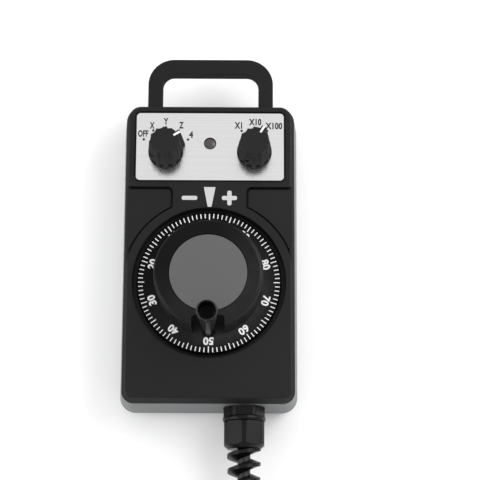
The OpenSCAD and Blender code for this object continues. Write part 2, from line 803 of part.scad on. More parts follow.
module encoder_housing() {
    color([0.2, 0.2, 0.22]) {
        difference() {
            disc(encoder_r, housing_low_z, housing_top_z);
            disc(encoder_r - encoder_wall, housing_low_z + encoder_wall, housing_top_z + 1);
        }
        for (i = [0:2]) rotate(150 + i * 120) translate([encoder_r - encoder_wall - 2, 0, 0])
            disc(2.1, housing_low_z + encoder_wall - eps, encoder_board_z);
    }
}

module flange_screws() {
    color([0.6, 0.6, 0.62]) at_flange_screws() translate([0, 0, floor_z])
        screw(screw_r, recess_wall + flange_t - 0.2, screw_head_r, 1.6);
}

module encoder_bearings() {
    color([0.7, 0.71, 0.73]) for (z = [neck_top_z - bearing_w, neck_low_z]) {
        tube(bearing_r, bearing_r - 1.2, z, z + bearing_w);
        tube(bearing_r - 1.2, spindle_r + 1.2, z + 1, z + bearing_w - 1);
        tube(spindle_r + 1.2, spindle_r + running, z, z + bearing_w);
    }
}

module encoder_shaft() {
    color([0.72, 0.72, 0.74]) disc(spindle_r, encoder_board_z + encoder_board_t + 0.6, spindle_top_z);
}

module code_disc() {
    color([0.6, 0.62, 0.6]) difference() {
        union() { disc(code_r, code_z, code_z + code_t); disc(7, code_z - 1, code_z + 2.4); }
        disc(spindle_r + slip, 0, face_z);
        for (i = [0:5]) rotate(i * 60) translate([13, 0, 0]) disc(2.6, 0, face_z);
    }
}

module encoder_board() {
    color([0.1, 0.35, 0.2])
        disc(encoder_r - encoder_wall - snug, encoder_board_z, encoder_board_z + encoder_board_t);
}

module encoder_sensor() {
    top = encoder_board_z + encoder_board_t;
    color([0.1, 0.1, 0.1]) rotate(-90) translate([code_r - 3.6, -4, top]) difference() {
        cube([7, 8, 7]);
        translate([-1, -1, code_z - top - 0.6]) cube([5.2, 10, code_t + 1.2]);
    }
}

module click_wheel() {
    color([0.7, 0.6, 0.35]) difference() {
        union() {
            translate([0, 0, click_z]) linear_extrude(click_t) polygon([for (i = [0:clicks - 1])
                for (k = [0, 1]) let (a = (i + k / 2) * 360 / clicks, r = click_r + k * 0.5)
                [r * cos(a), r * sin(a)]]);
            disc(7, code_z + 2.4, click_z + eps);
        }
        disc(spindle_r + slip, 0, face_z);
    }
}

// A leaf on the flange's underside, with its roller just clear of the click wheel
module click_spring() {
    color([0.75, 0.76, 0.78]) rotate(200) {
        translate([click_r + 0.5 + 0.15 + 1.2, 0, 0]) disc(1.2, click_z - 0.4, click_z + click_t + 0.4);
        translate([click_r + 2.6, -6, click_z - 0.4]) cube([0.6, 12, click_t + 0.8]);
        translate([click_r + 2.6, 5.4, click_z - 0.4]) cube([5, 0.6, housing_top_z - click_z + 0.4]);
    }
}

// ---- wiring ----

board_z = wall + 5;
board_t = 1.6;
board_y = step_y + 16;
board_w = 50;
board_h = 24;

module at_board_screws() { for (s = [-1, 1]) translate([s * (board_w / 2 - 4), board_y, 0]) children(); }

module wiring_board() {
    color([0.1, 0.35, 0.2]) difference() {
        translate([-board_w / 2, board_y - board_h / 2, board_z]) cube([board_w, board_h, board_t]);
        at_board_screws() disc(through_r, 0, face_z);
    }
}

module terminal_block() {
    ways = 8;
    pitch = 3.5;
    color([0.15, 0.45, 0.3]) translate([-ways * pitch / 2, board_y - board_h / 2 + 2, board_z + board_t])
        difference() {
            cube([ways * pitch, 8, 8]);
            for (i = [0:ways - 1]) translate([(i + 0.5) * pitch, 4, 4]) disc(1.2, 0, 5);
        }
}

module board_screws() {
    color([0.6, 0.6, 0.62]) at_board_screws() translate([0, 0, board_z + board_t])
        screw(screw_r, board_z + board_t - wall - 2, screw_head_r, screw_head_h);
}

// ---- cable gland: drawn along its own axis, outwards from the casing's seat ----

gland_wall = 4;
gland_corner_r = gland_hex / 2 + 0.9;
gland_spot_r = gland_corner_r + snug;
washer_t = 0.6;
base_l = 5.2;
rim_l = 2.6;
rim_r = gland_hex / 2 + 1.4;
rim_round = 0.8;
dome_z = base_l + rim_l + 0.2;
dome_end = dome_z + dome_l;
claw_low = 8;

module gland_frame() { translate([gland_x, -seat_y, gland_z]) rotate([90, 0, 0]) children(); }

module gland_washer() {
    color([0.1, 0.1, 0.1]) gland_frame() tube(gland_corner_r, gland_thread_r + running, 0, washer_t);
}

module gland_body() {
    color([0.13, 0.13, 0.14]) gland_frame() difference() {
        union() {
            disc(gland_thread_r, -gland_wall - 6, dome_z + 7);
            intersection() {
                hexagon(gland_hex, washer_t, base_l + eps);
                disc(gland_corner_r, 0, base_l + 1);
            }
            rotate_extrude() polygon([[0, base_l], [rim_r - rim_round, base_l],
                for (a = [-60, -30, 0, 30, 60]) [rim_r - rim_round + rim_round * cos(a),
                    base_l + rim_l / 2 + sign(a) * (rim_l / 2 - rim_round) + rim_round * sin(a)],
                [rim_r - rim_round, base_l + rim_l], [0, base_l + rim_l]]);
        }
        disc(cord_r + 0.5, -gland_wall - 7, claw_low + 1);
        disc(gland_thread_r - 1.6, claw_low, dome_end);
    }
}

module gland_locknut() {
    color([0.13, 0.13, 0.14]) gland_frame() difference() {
        hexagon(gland_hex - 0.8, -gland_wall - 4, -gland_wall);
        disc(gland_thread_r + slip, -gland_wall - 6, 0);
    }
}

module gland_claw() {
    r = gland_thread_r - 1.6 - running;
    color([0.2, 0.2, 0.2]) gland_frame() difference() {
        tube(r, cord_r + 1.7, claw_low, dome_z + 9);
        for (i = [0:3]) rotate(i * 45) translate([-2 * r, -0.4, claw_low + 3]) cube([4 * r, 0.8, dome_l]);
    }
}

module gland_seal() {
    color([0.1, 0.1, 0.1]) gland_frame() tube(cord_r + 1.65, cord_r + running, claw_low, dome_z + 8.6);
}

module dome_nut() {
    shoulder = 2.8;
    r = dome_hex / 2 + 0.9;
    color([0.13, 0.13, 0.14]) gland_frame() difference() {
        intersection() {
            hexagon(dome_hex, dome_z, dome_end, 30);
            rotate_extrude() polygon([[0, dome_z], [r - 0.3, dome_z], [r, dome_z + 0.6],
                [r, dome_end - shoulder], [r - 1.2, dome_end - shoulder / 2], [r - 2.9, dome_end],
                [0, dome_end]]);
        }
        disc(gland_thread_r + slip, 0, dome_z + 9.4);
        disc(cord_r + running, 0, dome_end + 1);
    }
}

// A tapering helical blade that stiffens the cord where it leaves the nut
module spiral_tail() {
    steps = 24;
    n = steps * spiral_turns;
    root_r = cord_r + running;
    z0 = dome_end + running;
    function blade(i) = let (a = spiral_start + i * 360 / steps, q = [cos(a), sin(a)],
        c = dome_end + spiral_pitch * i / steps, r = spiral_r + (spiral_end_r - spiral_r) * i / n,
        fade = min(1, 0.3 + (n - i) / steps), root = 2.7 * fade, tip = 0.9 * fade)
        [[root_r * q[0], root_r * q[1], c - root], [root_r * q[0], root_r * q[1], c + root],
         [r * q[0], r * q[1], c + tip], [r * q[0], r * q[1], c - tip]];
    points = [for (i = [0:n]) each blade(i)];
    faces = concat([[0, 1, 2, 3]],
        [for (i = [0:n - 1]) for (k = [0:3]) let (a = 4 * i + k, b = 4 * i + (k + 1) % 4)
            [b, a, a + 4, b + 4]],
        [[4 * n + 3, 4 * n + 2, 4 * n + 1, 4 * n]]);
    color([0.13, 0.13, 0.14]) gland_frame() difference() {
        polyhedron(points, faces);
        disc(2 * spiral_r, z0 - spiral_pitch, z0);
    }
}

// ---- cord, coil and plug ----

// Unit vector along the route at point i
function heading(p, i) = let (d = p[min(i + 1, len(p) - 1)] - p[max(i - 1, 0)]) d / norm(d);

// A tube of radius r swept through the points p
module swept(p, r, sides = 10) {
    points = [for (i = [0:len(p) - 1])
        let (t = heading(p, i), w = cross([1, 0, 0], t), u = w / norm(w), v = cross(t, u))
        for (k = [0:sides - 1]) let (a = k * 360 / sides) p[i] + r * (cos(a) * u + sin(a) * v)];
    last = (len(p) - 1) * sides;
    faces = concat([[for (k = [0:sides - 1]) sides - 1 - k]],
        [for (i = [0:len(p) - 2]) for (k = [0:sides - 1])
            let (a = i * sides + k, b = i * sides + (k + 1) % sides) [a, b, b + sides, a + sides]],
        [[for (k = [0:sides - 1]) last + k]]);
    polyhedron(points, faces);
}

module inner_cable() {
    color([0.1, 0.1, 0.1]) gland_frame() disc(cord_r, -22, dome_end);
}

module cable() {
    color([0.1, 0.1, 0.1]) { swept(cord_out, cord_r); swept(cord_end, cord_r); }
}

module cable_coil() {
    b = 2;
    color([0.1, 0.1, 0.1]) translate([coil_c[0], coil_c[1], 0]) rotate_extrude() polygon([
        [coil_in_r + b, 0], [coil_out_r - b, 0], [coil_out_r, b], [coil_out_r, coil_h - b],
        [coil_out_r - b, coil_h], [coil_in_r + b, coil_h], [coil_in_r, coil_h - b], [coil_in_r, b]]);
}

module coil_tie() {
    color([0.2, 0.2, 0.2]) translate([coil_c[0], coil_c[1], 0]) rotate(250) difference() {
        translate([coil_in_r - tie_t, -tie_w / 2, 0])
            cube([coil_out_r - coil_in_r + 2 * tie_t, tie_w, coil_h + tie_t]);
        translate([coil_in_r, -tie_w, tie_t]) cube([coil_out_r - coil_in_r, 2 * tie_w, coil_h - tie_t]);
    }
}

plug_r = 11.2;
plug_neck_r = 9;
plug_nose_r = 8.5;
plug_bore_r = 7.3;
plug_pin_r = 0.5;
shell_l = 28;
ring_l = 8;
lip_l = 0.8;
nose_l = 9;

module plug_frame() { translate(plug_at) rotate([-90, 0, 0]) children(); }

module plug_shell() {
    n0 = shell_l + ring_l + 0.3;
    n1 = n0 + lip_l;
    n2 = n1 + nose_l;
    color([0.25, 0.25, 0.26]) plug_frame() difference() {
        rotate_extrude() polygon([[0, 0], [cord_r + 2, 0], [cord_r + 3, 1], [cord_r + 3.4, 7],
            [plug_r - 1, 8], [plug_r, 9], [plug_r, 14], [plug_r - 0.8, 14.6], [plug_r - 0.8, 17], [plug_r, 17.6],
            [plug_r, shell_l - 0.6], [plug_r - 0.6, shell_l], [plug_neck_r, shell_l], [plug_neck_r, n0],
            [plug_neck_r + 0.5, n0], [plug_neck_r + 0.5, n1 - 0.2], [plug_nose_r, n1],
            [plug_nose_r, n2], [0, n2]]);
        disc(plug_bore_r, n0 - 4, n2 + 1);
        disc(cord_r + running, -1, 6);
    }
}

module plug_ring() {
    knurls = 24;
    color([0.7, 0.7, 0.71]) plug_frame() difference() {
        disc(plug_r - 0.3, shell_l + 0.15, shell_l + 0.15 + ring_l);
        disc(plug_neck_r + running, shell_l, shell_l + 2 * ring_l);
        for (i = [0:knurls - 1]) rotate(i * 360 / knurls) translate([plug_r + 0.1, 0, shell_l + 1.2])
            cylinder(r = 0.8, h = ring_l - 2.1, $fn = 24);
    }
}

// Places of the fifteen contacts: an inner ring of five and an outer ring of ten
module at_contacts() {
    for (i = [0:4]) rotate(i * 72) translate([2.5, 0, 0]) children();
    for (i = [0:9]) rotate(i * 36) translate([5.4, 0, 0]) children();
}

module plug_insert() {
    n0 = shell_l + ring_l + 0.3;
    color([0.12, 0.12, 0.13]) plug_frame() difference() {
        disc(plug_bore_r - running, n0 - 4, n0 + 2);
        at_contacts() disc(plug_pin_r + slip, 0, n0 + 3);
    }
}

module plug_pins() {
    n0 = shell_l + ring_l + 0.3;
    color([0.85, 0.7, 0.35]) plug_frame() at_contacts() disc(plug_pin_r, n0 - 3.8, n0 + 8);
}

// Places that both casing halves and their screws share
casing_head_z = 12;
screw_bite = 4;
leg_screw_y = face_top - wall - leg_in + boss_r;

front_cover();
rear_shell();
casing_seal();
casing_screws();
carrying_loop();
loop_screws();
faceplate();
indicator_led();
indicator_board();
on_switch(-1) switch_housing();  // axis_switch_housing
on_switch(-1) switch_nut();  // axis_switch_nut
on_switch(-1) switch_shaft();  // axis_switch_shaft
on_switch(-1) switch_terminals();  // axis_switch_terminals
on_switch(-1) knob(axis_rest);  // axis_knob
on_switch(-1) knob_line(axis_rest);  // axis_knob_line
on_switch(-1) knob_screw(axis_rest);  // axis_knob_screw
on_switch(1) switch_housing();  // multiplier_switch_housing
on_switch(1) switch_nut();  // multiplier_switch_nut
on_switch(1) switch_shaft();  // multiplier_switch_shaft
on_switch(1) switch_terminals();  // multiplier_switch_terminals
on_switch(1) knob(multiplier_rest);  // multiplier_knob
on_switch(1) knob_line(multiplier_rest);  // multiplier_knob_line
on_switch(1) knob_screw(multiplier_rest);  // multiplier_knob_screw
dial();
hub();
hub_disc();
hub_screw();
dial_screws();
crank_post();
crank_grip();
crank_screw();
encoder_flange();
encoder_housing();
flange_screws();
encoder_bearings();
encoder_shaft();
code_disc();
encoder_board();
encoder_sensor();
click_wheel();
click_spring();
wiring_board();
terminal_block();
board_screws();
gland_body();
gland_washer();
gland_locknut();
gland_claw();
gland_seal();
dome_nut();
spiral_tail();
inner_cable();
cable();
cable_coil();
coil_tie();
plug_shell();
plug_ring();
plug_insert();
plug_pins();
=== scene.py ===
"""Dresses the solids of a hand-held pulse generator for rendering."""

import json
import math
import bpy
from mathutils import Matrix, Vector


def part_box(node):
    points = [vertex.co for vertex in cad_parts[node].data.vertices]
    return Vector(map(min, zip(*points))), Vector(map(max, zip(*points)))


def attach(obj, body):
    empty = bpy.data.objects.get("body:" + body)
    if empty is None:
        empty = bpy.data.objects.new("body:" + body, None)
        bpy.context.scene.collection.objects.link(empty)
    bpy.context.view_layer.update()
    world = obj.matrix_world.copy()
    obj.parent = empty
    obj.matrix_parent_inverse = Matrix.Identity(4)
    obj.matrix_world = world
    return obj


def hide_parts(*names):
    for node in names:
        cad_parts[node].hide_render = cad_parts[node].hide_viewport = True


bl_info = {
    "name": "Pulse generator pendant",
    "version": (1, 0, 0),
    "blender": (4, 5, 0),
    "location": "3D View > Sidebar > Pendant",
    "description": "Builds the visible pieces of a hand-held pulse generator with a handwheel",
    "category": "Object",
}

import bpy
from mathutils import Matrix, Vector

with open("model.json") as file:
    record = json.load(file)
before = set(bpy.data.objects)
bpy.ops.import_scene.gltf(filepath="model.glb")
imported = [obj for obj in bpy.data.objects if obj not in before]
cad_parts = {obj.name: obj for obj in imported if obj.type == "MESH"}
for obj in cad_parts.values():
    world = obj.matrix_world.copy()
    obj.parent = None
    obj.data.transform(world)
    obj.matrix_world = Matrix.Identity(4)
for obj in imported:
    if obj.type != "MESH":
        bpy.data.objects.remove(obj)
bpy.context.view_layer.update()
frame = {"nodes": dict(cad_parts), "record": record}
NODES = frame["nodes"]
MM = 0.001

# Heights of the faces that carry marks
FACE_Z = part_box("front_cover")[1][2]
PLATE_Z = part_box("faceplate")[1][2]
DIAL_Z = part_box("dial")[1][2]

# Camera: place in millimetres, its height counted from the face, and its turns about X, Y and Z
CAMERA_PLACE = (14.7245, -187.432, 842.97)
CAMERA_TURNS = (("X", 0.244), ("Y", -0.0015), ("Z", 0.0046))
SENSOR_WIDTH = 36.0                 # millimetres
CLIP_END = 20.0
FLOOR_SIZE = 12

# Modelling
WELD = 0.004 * MM                   # vertices of a new piece that are nearer than this are merged
SOLID_WELD = 0.002 * MM             # and those of a solid's copy
FLAT_ANGLE = 0.6                    # degrees between faces that are merged into one
SMOOTH_ANGLE = 35                   # degrees between faces that are shaded as one surface
DISC_GAP = 0.25 * MM                # between the hub's disc and its seat
PRINT_T = 0.03 * MM                 # thickness of every printed mark

# Printed and raised marks, in millimetres
TEXT_WEIGHT = 0.04                  # how much the strokes of the lettering are widened
LABELS = (("OFF", 5.4, -35.5, 80.4), ("X", 2.6, -30.8, 84.9), ("Y", 2.5, -23.5, 87.2),
          ("Z", 2.4, -15.3, 85.1), ("4", 2.2, -10.1, 79.9), ("X1", 4.0, 14.9, 85.1),
          ("X10", 6.6, 23.8, 87.0), ("X100", 9.0, 33.7, 84.9))      # words, width, x, y
KNOB_Y = 70.4
KNOB_STOPS = ((-23.4, (150, 120, 90, 60, 30)),      # a knob's x, and its dots' angles in degrees
              (23.4, (120, 90, 60)))
MINUS = (-10.55, 45.1, 8.2, 2.2)    # x, y, length, stroke width
PLUS = (10.4, 45.1, 8.0, 2.3)
STROKE_ROUND = 0.42                 # rounding of a stroke's ends, as a share of its width
WEDGE_Y = (40.3, 51)                # the wedge's tip and its wide end
WEDGE_TIP, WEDGE_WIDE = 2.0, 6.1    # widths there
GRADUATIONS = 100
NUMBERS = 10
TICKS_PER_LONG = 5
DIGIT_WIDTHS = (2.5, 5.4)           # of one digit and of two

# Cable, in millimetres: its coil's centre, the ring and height of each turn, and the leads
CABLE_R = 3.3
COIL = Vector((-24, -192))
COIL_TURNS = 6.5
TURNS = ((42.6, 3.3), (36.0, 3.3), (29.4, 3.3), (29.4, 9.95), (36.0, 9.95), (42.6, 9.95),
         (42.6, 9.95))
CROSSING = 0.78                     # share of a turn after which the cable moves over to the next
POINTS_PER_TURN = 18
LEAD_OUT = ((18.6, -84.5, 19.5), (18.6, -100, 19.5), (18.6, -115, 19.5), (18.6, -128, 19.5),
            (18.6, -135, 19.3), (18.6, -142, 18.3), (18.6, -149, 16.4), (18.6, -156, 13.7),
            (18.6, -163, 10.6), (18.6, -170, 7.6), (18.6, -177, 5.2), (18.6, -184, 3.8))
LEAD_IN = ((-66.6, -182, 10.1), (-66.6, -172, 10.5), (-66.6, -164, 11), (-66.5, -156, 11.6),
           (-66.5, -151, 11.6))

# Finishes
HANDLED = 0.15                      # strength of the handling marks
TURNED_PITCH = 0.12 * MM            # spacing of turned tool marks
PAINTED_SHEEN_SIDE = (0.6, -0.8, 0.0)      # direction from the wheel's axis in which its painted reflection is lightest


# ---- sizes and colours that a user would change ----

def length_property(name, description, value):
    """A size, given in millimetres."""
    return bpy.props.FloatProperty(
        name=name, description=description, default=value * MM, unit="LENGTH")


def colour_property(name, description, value):
    return bpy.props.FloatVectorProperty(
        name=name, description=description, subtype="COLOR", size=3, min=0, max=1, default=value)


class PendantPrintSizes(bpy.types.PropertyGroup):
    """Sizes of the printed marks and of the painted shade round the plate"""
    tick_radius: length_property(
        "Graduation radius", "Outer ends of the dial's graduations", 36.75)
    tick_length: length_property("Graduation length", "Length of a short graduation", 2.4)
    tick_extra: length_property("Long graduation", "How much longer every fifth graduation is", 0.8)
    tick_width: length_property("Graduation width", "Width of a graduation", 0.5)
    number_radius: length_property(
        "Number radius", "Circle through the middle of the dial's numbers", 30.9)
    number_height: length_property("Number height", "Height of the dial's numbers", 4.1)
    label_height: length_property("Label height", "Height of the lettering on the panel", 3.7)
    dot_radius: length_property("Dot radius", "Radius of the dots round the knobs", 0.68)
    dot_ring: length_property("Dot ring", "Distance of the dots from a knob's axis", 13.5)
    # The border round the plate is painted shade of the gap between the plate and the cover
    border_width: length_property("Border width", "Width of the border printed on the plate", 0.55)
    gap_shade_corner: length_property("Border corner", "Corner radius of the plate's border", 2.6)


class PendantEdgeSizes(bpy.types.PropertyGroup):
    """Rounding of edges"""
    casing: length_property("Casing edges", "Rounding of the casing's edges", 0.28)
    metal: length_property("Metal edges", "Rounding of turned metal edges", 0.25)
    knob: length_property("Knob edges", "Rounding of the knobs' edges", 0.3)
    loop: length_property("Loop edges", "Rounding of the carrying loop's edges", 1.2)
    fitting: length_property("Fitting edges", "Rounding of the cable's fittings", 0.25)
    disc: length_property("Disc edge", "Rounding of the hub disc's edge", 0.2)


class PendantColours(bpy.types.PropertyGroup):
    """Colours of the finishes"""
    cover: colour_property("Cover", "Black moulding of the front", (0.0045, 0.0045, 0.005))
    shell: colour_property("Shell", "Grey moulding of the back", (0.16, 0.165, 0.17))
    plate: colour_property("Faceplate", "Brushed plate behind the knobs", (0.8, 0.8, 0.8))
    lettering: colour_property(
        "Lettering", "Printed lettering on the plate", (0.008, 0.008, 0.009))
    wheel: colour_property("Wheel", "Anodised dial and hub", (0.002, 0.002, 0.0021))
    hub_disc: colour_property("Hub disc", "Grey disc on the hub", (0.088, 0.088, 0.09))
    marks: colour_property(
        "Marks", "Light marks on the cover and the wheel", (0.54, 0.54, 0.54))
    cable: colour_property("Cable", "Sheath of the cable", (0.005, 0.005, 0.0053))


class PendantStageSizes(bpy.types.PropertyGroup):
    """Camera and lights"""
    lens: bpy.props.FloatProperty(
        name="Lens", description="Focal length of the camera, in millimetres", default=125.04)
    key_power: bpy.props.FloatProperty(
        name="Key light", description="Power of the large soft light", default=7.0, unit="POWER")
    fill_power: bpy.props.FloatProperty(
        name="Fill light", description="Power of the soft light on the other side", default=4.0,
        unit="POWER")
    sky: bpy.props.FloatProperty(
        name="Surroundings", description="Brightness of the studio round the object", default=0.9)


# ---- modelling helpers ----

def tidy():
    """Object mode with nothing selected."""
    if bpy.context.object is not None and bpy.context.object.mode != "OBJECT":
        bpy.ops.object.mode_set(mode="OBJECT")
    bpy.ops.object.select_all(action="DESELECT")


def activate(piece):
    tidy()
    piece.select_set(True)
    bpy.context.view_layer.objects.active = piece


def edit_all(kind="VERT"):
    """Edit mode on the active piece, with all of it selected."""
    bpy.ops.object.mode_set(mode="EDIT")
    bpy.ops.mesh.select_mode(type=kind)
    bpy.ops.mesh.select_all(action="SELECT")


def leave_edit():
    bpy.ops.object.mode_set(mode="OBJECT")


def named(name):
    """The piece that an operator has just made, renamed and with its place in its mesh."""
    piece = bpy.context.object
    piece.name = name
    piece.data.name = name
    piece.data.materials.clear()
    bpy.ops.object.transform_apply(location=True, rotation=True, scale=True)
    return piece


def pick(piece, kind, test):
    """In edit mode, selects the verts, edges or faces whose middle passes the test."""
    leave_edit()
    mesh = piece.data
    for part in list(mesh.vertices) + list(mesh.edges) + list(mesh.polygons):
        part.select = False
    if kind == "VERT":
        for v in mesh.vertices:
            v.select = test(v.co, v.normal)
    elif kind == "EDGE":
        for e in mesh.edges:
            a, b = (mesh.vertices[i].co for i in e.vertices)
            e.select = test((a + b) / 2, b - a)
    else:
        for f in mesh.polygons:
            f.select = test(f.center, f.normal)
    bpy.ops.object.mode_set(mode="EDIT")
    bpy.ops.mesh.select_mode(type=kind)


def extrude(move):
    """Extrudes what is selected."""
    bpy.ops.mesh.extrude_region_move(TRANSFORM_OT_translate={"value": move})


def modify(piece, kind, **values):
    """Adds a modifier, sets it and applies it."""
    activate(piece)
    modifier = piece.modifiers.new(kind.lower(), kind)
    for key, value in values.items():
        setattr(modifier, key, value)
    bpy.ops.object.modifier_apply(modifier=modifier.name)


def round_edges(piece, width, segments=3, angle=30):
    modify(piece, "BEVEL", width=width, segments=segments, limit_method="ANGLE",
           angle_limit=math.radians(angle), use_clamp_overlap=True, harden_normals=False,
           miter_outer="MITER_ARC")


def shade(piece, angle):
    """Smooth shading up to an angle, with the large faces kept flat beside rounded edges."""
    activate(piece)
    bpy.ops.object.shade_smooth_by_angle(angle=math.radians(angle))
    modify(piece, "WEIGHTED_NORMAL", mode="FACE_AREA", weight=100, keep_sharp=True)


def close_up(piece):
    """Merges doubles, turns the faces outwards and shades the piece."""
    activate(piece)
    edit_all()
    bpy.ops.mesh.remove_doubles(threshold=WELD)
    bpy.ops.mesh.normals_make_consistent(inside=False)
    leave_edit()
    shade(piece, SMOOTH_ANGLE)


def dress(piece, body, slot, *replaced, look=None):
    """Gives a piece its slot's finish, or another look, and the body it moves with."""
    piece.data.materials.clear()
    piece.data.materials.append(finish(look or slot))
    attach(piece, body)
    if replaced:
        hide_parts(*replaced)
    return piece


def from_solid(title, solid, body, slot, width, segments=3, angle=28, smooth=SMOOTH_ANGLE):
    """A finished piece that starts from a merged copy of a solid and gets rounded edges."""
    tidy()
    piece = bpy.data.objects.new(title, NODES[solid].data.copy())
    bpy.context.scene.collection.objects.link(piece)
    piece.data.name = title
    activate(piece)
    edit_all()
    bpy.ops.mesh.remove_doubles(threshold=SOLID_WELD)
    bpy.ops.mesh.dissolve_limited(angle_limit=math.radians(FLAT_ANGLE))
    leave_edit()
    round_edges(piece, width, segments, angle)
    shade(piece, smooth)
    return dress(piece, body, slot, solid)


def turned(name, centre, profile, segments):
    """A piece turned about +Z through centre, from (radius, height) pairs, closed at both ends."""
    tidy()
    x, y = centre
    r0, z0 = profile[0]
    bpy.ops.mesh.primitive_circle_add(
        vertices=segments, radius=r0, fill_type="NOTHING", location=(x, y, z0))
    piece = named(name)
    edit_all()
    bpy.ops.mesh.edge_face_add()
    bpy.ops.mesh.select_mode(type="EDGE")
    for (ra, za), (rb, zb) in zip(profile, profile[1:]):
        extrude((0, 0, zb - za))
        bpy.ops.transform.resize(value=(rb / ra, rb / ra, 1), center_override=(x, y, zb))
    leave_edit()
    return piece


def printed(name, words, height, width, centre, turn=0.0):
    """Raised lettering of a given height and width, centred on a point and turned about +Z."""
    tidy()
    bpy.ops.object.text_add()
    text = bpy.context.object.data
    text.body = words
    text.align_x = "CENTER"
    text.size = 1.0
    text.offset = TEXT_WEIGHT
    text.space_character = 1.0 + TEXT_WEIGHT
    text.extrude = 0.5
    text.resolution_u = 6
    bpy.ops.object.convert(target="MESH")
    piece = bpy.context.object
    corners = [Vector(c) for c in piece.bound_box]
    low = Vector(min(c[i] for c in corners) for i in range(3))
    high = Vector(max(c[i] for c in corners) for i in range(3))
    size = high - low
    piece.data.transform(
        Matrix.Translation(Vector(centre)) @ Matrix.Rotation(turn, 4, "Z")
        @ Matrix.Diagonal((width / size.x, height / size.y, PRINT_T / size.z, 1))
        @ Matrix.Translation(-(low + high) / 2))
    piece.name = name
    piece.data.name = name
    return piece


def joined(name, pieces):
    """Several pieces as one."""
    tidy()
    for piece in pieces:
        piece.select_set(True)
    bpy.context.view_layer.objects.active = pieces[0]
    bpy.ops.object.join()
    piece = bpy.context.object
    piece.name = name
    piece.data.name = name
    return piece


def block(name, low, high):
    """A box between two corners, as a start for a shaped piece."""
    tidy()
    centre = [(a + b) / 2 for a, b in zip(low, high)]
    bpy.ops.mesh.primitive_cube_add(size=1, location=centre)
    bpy.context.object.scale = [b - a for a, b in zip(low, high)]
    return named(name)


# ---- materials ----

def group(name, inputs, outputs):
    """An empty shader node group with float outputs, and its input and output nodes."""
    tree = bpy.data.node_groups.new(name, "ShaderNodeTree")
    tree.interface.new_socket(name="Vector", in_out="INPUT", socket_type="NodeSocketVector")
    for title, value in inputs:
        socket = tree.interface.new_socket(
            name=title, in_out="INPUT", socket_type="NodeSocketFloat")
        socket.default_value = value
    for title in outputs:
        tree.interface.new_socket(name=title, in_out="OUTPUT", socket_type="NodeSocketFloat")
    return tree, tree.nodes.new("NodeGroupInput"), tree.nodes.new("NodeGroupOutput")


def wire(tree, made, links):
    """Links sockets, or sets them to values, in the inputs of a node."""
    for socket, source in links:
        if isinstance(source, bpy.types.NodeSocket):
            tree.links.new(source, made.inputs[socket])
        else:
            made.inputs[socket].default_value = source
    return made


def node(tree, kind, links=(), **values):
    """A node with its settings, and links into its inputs."""
    made = tree.nodes.new(kind)
    for key, value in values.items():
        setattr(made, key, value)
    return wire(tree, made, links)


def maths(tree, operation, a, b, clamp=False):
    return node(tree, "ShaderNodeMath", [(0, a), (1, b)], operation=operation,
                use_clamp=clamp).outputs[0]


def vector_maths(tree, operation, *sources):
    return node(tree, "ShaderNodeVectorMath", list(enumerate(sources)), operation=operation).outputs


def ramp(tree, value, low, high, start=0.0, end=1.0):
    """A value's share of the way from low to high, spread from start to end."""
    return node(tree, "ShaderNodeMapRange", [
        ("Value", value), ("From Min", low), ("From Max", high), ("To Min", start),
        ("To Max", end)]).outputs[0]


def noise(tree, vector, scale, **sockets):
    return node(tree, "ShaderNodeTexNoise", [
        ("Vector", vector), ("Scale", scale)] + list(sockets.items())).outputs["Fac"]


def flattened(tree, vector):
    """The vector without its height, and its distance from the axis."""
    flat = vector_maths(tree, "MULTIPLY", vector, (1.0, 1.0, 0.0))[0]
    return flat, vector_maths(tree, "LENGTH", flat)["Value"]


def tool_rings(tree, radius, pitch):
    """Heights of concentric tool marks."""
    return node(tree, "ShaderNodeTexNoise", [
        ("W", maths(tree, "DIVIDE", radius, pitch)), ("Scale", 1.0), ("Detail", 2.0)],
        noise_dimensions="1D").outputs["Fac"]


def moulded_grain():
    """Fine spark-eroded texture of a moulding, with a slow unevenness of tone."""
    tree, start, end = group("moulded_grain", [("Cell size", 0.35 * MM)], ["Height", "Tone"])
    vector = start.outputs["Vector"]
    scale = maths(tree, "DIVIDE", 1.0, start.outputs["Cell size"])
    cells = node(tree, "ShaderNodeTexVoronoi", [("Vector", vector), ("Scale", scale)],
                 feature="SMOOTH_F1").outputs["Distance"]
    fine = noise(tree, vector, scale, Detail=2.0, Roughness=0.6)
    wire(tree, end, [("Height", maths(tree, "ADD", fine, cells)),
                     ("Tone", noise(tree, vector, 55.0, Detail=3.0))])
    return tree


def brushed_lines():
    """Long fine scratches along one axis: the vector is squeezed across them."""
    tree, start, end = group("brushed_lines", [("Along", 18.0), ("Across", 5200.0)],
                             ["Height", "Tone"])
    along = start.outputs["Along"]
    spread = node(tree, "ShaderNodeCombineXYZ", [
        ("X", along), ("Y", start.outputs["Across"]), ("Z", along)]).outputs[0]
    squeezed = vector_maths(tree, "MULTIPLY", start.outputs["Vector"], spread)[0]
    wire(tree, end, [("Height", noise(tree, squeezed, 1.0, Detail=3.0, Roughness=0.65)),
                     ("Tone", noise(tree, squeezed, 0.22, Detail=2.0))])
    return tree


def turned_lines():
    """Concentric tool marks round an axis along +Z through the vector's origin."""
    tree, start, end = group("turned_lines", [("Pitch", TURNED_PITCH)], ["Height"])
    radius = flattened(tree, start.outputs["Vector"])[1]
    wire(tree, end, [("Height", tool_rings(tree, radius, start.outputs["Pitch"]))])
    return tree


